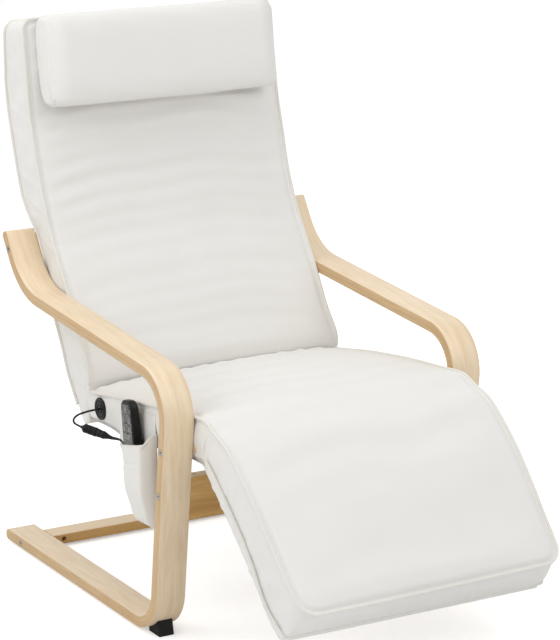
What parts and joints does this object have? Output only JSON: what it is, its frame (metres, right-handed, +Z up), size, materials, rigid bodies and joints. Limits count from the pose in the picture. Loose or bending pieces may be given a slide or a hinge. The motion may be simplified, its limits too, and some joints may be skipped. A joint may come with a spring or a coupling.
{
  "type": "massage recliner",
  "caption": "Bentwood-framed reclining lounge chair with padded seat, hinged back and leg rest, head pillow, built-in massage motors and a corded handset in a side pocket.",
  "frame": {"origin": "on the floor, under the middle of the chair's footprint", "axes": "+Z up, +Y towards the back of the chair, so the sitter faces -Y; +X to the sitter's left"},
  "size_m": [0.67, 1.1348, 1.0517],
  "materials": {
    "birch_band": "clear matt lacquer on bent birch plies",
    "birch_board": "clear matt lacquer",
    "frame_wood": "sawn, unfinished",
    "zinc_steel": "bright zinc plate",
    "foot_rubber": "matt",
    "cover_fabric": "off-white cotton and linen weave",
    "webbing": "elastic webbing",
    "hook_and_loop": "hook and loop tape",
    "motor_shell": "moulded",
    "weight_steel": "plain turned steel",
    "box_plastic": "moulded",
    "lead_sheath": "matt sheath",
    "handset_plastic": "fine-textured moulding",
    "board_green": "coated circuit board",
    "button_rubber": "soft keys"
  },
  "bodies": {
    "base": {"side_frame_right": "birch_band", "side_frame_left": "birch_band", "front_crossboard": "birch_board", "rear_floor_crossbar": "birch_board", "upper_back_crossbar": "birch_board", "front_seat_rail": "frame_wood", "fixed_stiles": "frame_wood", "rear_seat_rail": "frame_wood", "frame_bolts": "zinc_steel", "barrel_nuts": "zinc_steel", "back_hinge_fixed_plates": "zinc_steel", "knee_hinge_brackets": "zinc_steel", "hinge_pins": "zinc_steel", "toe_feet": "foot_rubber", "rear_feet": "foot_rubber", "seat_cushion": "cover_fabric", "remote_pocket": "cover_fabric", "seat_webbing": "webbing", "seat_motor_case": "motor_shell", "control_box": "box_plastic", "power_inlet": "box_plastic", "cord_grommet": "box_plastic", "inner_lead": "lead_sheath", "motor_lead": "lead_sheath", "handset_lead": "lead_sheath", "connector_socket": "lead_sheath", "connector_plug": "lead_sheath"},
    "backrest": {"back_stiles": "frame_wood", "back_top_rail": "frame_wood", "back_bottom_strip": "zinc_steel", "back_webbing": "webbing", "back_cushion": "cover_fabric", "back_rear_cover": "cover_fabric", "back_hinge_moving_plates": "zinc_steel", "upper_back_motor_case": "motor_shell", "lower_back_motor_case": "motor_shell", "pillow_hook_strips": "hook_and_loop"},
    "legrest": {"leg_stiles": "frame_wood", "knee_rail": "frame_wood", "foot_rail": "frame_wood", "leg_webbing": "webbing", "leg_cushion": "cover_fabric", "knee_hinge_leg_plates": "zinc_steel", "leg_motor_case": "motor_shell"},
    "pillow": {"head_pillow": "cover_fabric", "pillow_loop_strips": "hook_and_loop"},
    "handset": {"handset_front_shell": "handset_plastic", "handset_back_shell": "handset_plastic", "handset_circuit_board": "board_green"},
    "power_button": {"power_button": "button_rubber"},
    "upper_back_button": {"upper_back_button": "button_rubber"},
    "lower_back_button": {"lower_back_button": "button_rubber"},
    "seat_button": {"seat_button": "button_rubber"},
    "leg_button": {"leg_button": "button_rubber"},
    "timer_button": {"timer_button": "button_rubber"},
    "upper_back_motor_weight": {"upper_back_motor_weight": "weight_steel"},
    "lower_back_motor_weight": {"lower_back_motor_weight": "weight_steel"},
    "seat_motor_weight": {"seat_motor_weight": "weight_steel"},
    "leg_motor_weight": {"leg_motor_weight": "weight_steel"}
  },
  "joints": [
    {"name": "backrest_tilt", "type": "hinge", "parent": "base", "child": "backrest", "pos_m": [0, 0.22272, 0.33045], "axis": [1, 0, 0], "range_deg": [0, 15]},
    {"name": "legrest_tilt", "type": "hinge", "parent": "base", "child": "legrest", "pos_m": [0, -0.22305, 0.35875], "axis": [1, 0, 0], "range_deg": [-30, 10]},
    {"name": "pillow_pull_off", "type": "slide", "parent": "backrest", "child": "pillow", "axis": [0, -0.9857, 0.1685], "range_m": [0, 0.1]},
    {"name": "handset_lift", "type": "slide", "parent": "base", "child": "handset", "axis": [0, 0.1392, 0.9903], "range_m": [0, 0.085]},
    {"name": "power_press", "type": "slide", "parent": "handset", "child": "power_button", "axis": [1, 0, 0], "range_m": [0, 0.0008], "stiffness_N_per_m": 1500, "springref_m": -0.0006},
    {"name": "upper_back_press", "type": "slide", "parent": "handset", "child": "upper_back_button", "axis": [1, 0, 0], "range_m": [0, 0.0008], "stiffness_N_per_m": 1500, "springref_m": -0.0006},
    {"name": "lower_back_press", "type": "slide", "parent": "handset", "child": "lower_back_button", "axis": [1, 0, 0], "range_m": [0, 0.0008], "stiffness_N_per_m": 1500, "springref_m": -0.0006},
    {"name": "seat_press", "type": "slide", "parent": "handset", "child": "seat_button", "axis": [1, 0, 0], "range_m": [0, 0.0008], "stiffness_N_per_m": 1500, "springref_m": -0.0006},
    {"name": "leg_press", "type": "slide", "parent": "handset", "child": "leg_button", "axis": [1, 0, 0], "range_m": [0, 0.0008], "stiffness_N_per_m": 1500, "springref_m": -0.0006},
    {"name": "timer_press", "type": "slide", "parent": "handset", "child": "timer_button", "axis": [1, 0, 0], "range_m": [0, 0.0008], "stiffness_N_per_m": 1500, "springref_m": -0.0006},
    {"name": "upper_back_motor_spin", "type": "hinge", "parent": "backrest", "child": "upper_back_motor_weight", "pos_m": [0, 0.51555, 0.8661], "axis": [0, -0.9846, 0.1745], "continuous": true},
    {"name": "lower_back_motor_spin", "type": "hinge", "parent": "backrest", "child": "lower_back_motor_weight", "pos_m": [0, 0.32212, 0.49754], "axis": [0, -0.8348, 0.5505], "continuous": true},
    {"name": "seat_motor_spin", "type": "hinge", "parent": "base", "child": "seat_motor_weight", "pos_m": [0, -0.00872, 0.34681], "axis": [0, 0.1392, 0.9903], "continuous": true},
    {"name": "leg_motor_spin", "type": "hinge", "parent": "legrest", "child": "leg_motor_weight", "pos_m": [0, -0.37094, 0.24079], "axis": [0, -0.6561, 0.7547], "continuous": true}
  ]
}
